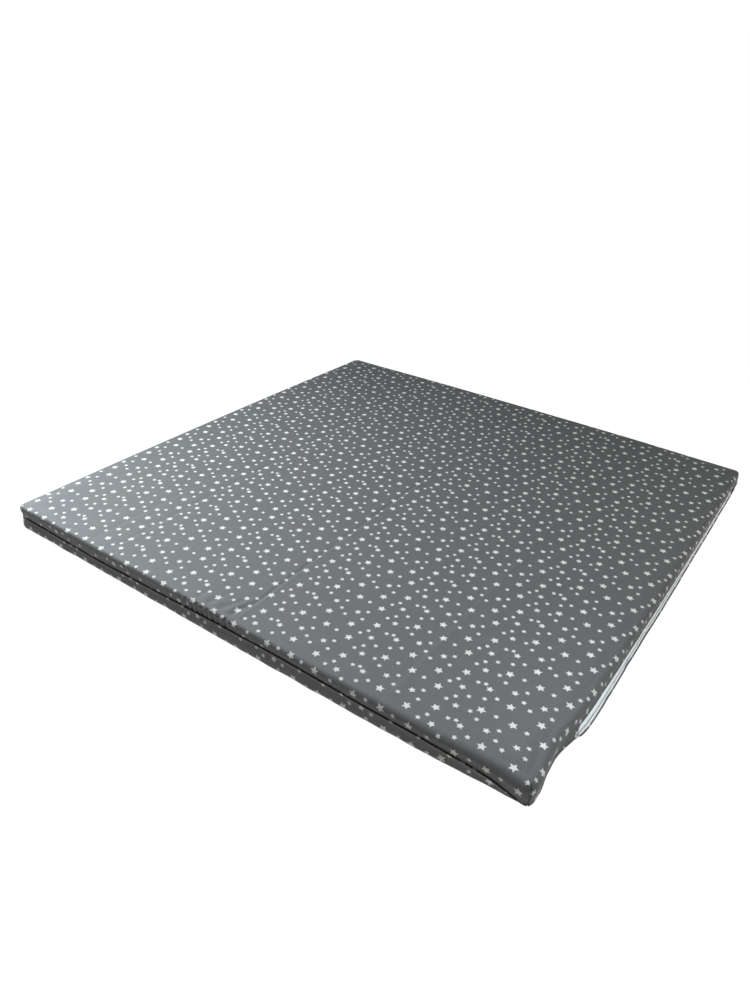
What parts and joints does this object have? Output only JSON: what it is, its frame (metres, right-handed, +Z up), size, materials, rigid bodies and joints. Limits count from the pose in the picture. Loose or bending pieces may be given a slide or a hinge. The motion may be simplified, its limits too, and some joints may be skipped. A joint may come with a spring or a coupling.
{
  "type": "playpen mattress",
  "caption": "Square foam mattress for a playpen in a removable printed cotton cover, with a seam round its side and a zip along one side.",
  "frame": {"origin": "on the surface the mattress lies on, under the middle of its bounding box", "axes": "+Z up through the thickness, +X along the front side towards the zip side, +Y along the zip side from front to back"},
  "size_m": [0.9997, 0.9997, 0.0499],
  "materials": {
    "cotton": "mid grey plain-woven cotton printed with small off-white stars",
    "zip_tape": "white woven polyester tape",
    "zip_coil": "pale grey nylon coil"
  },
  "bodies": {
    "root": {"cushion": "cotton", "zip_tape_upper": "zip_tape", "zip_tape_lower": "zip_tape", "zip_coil": "zip_coil"}
  },
  "joints": []
}
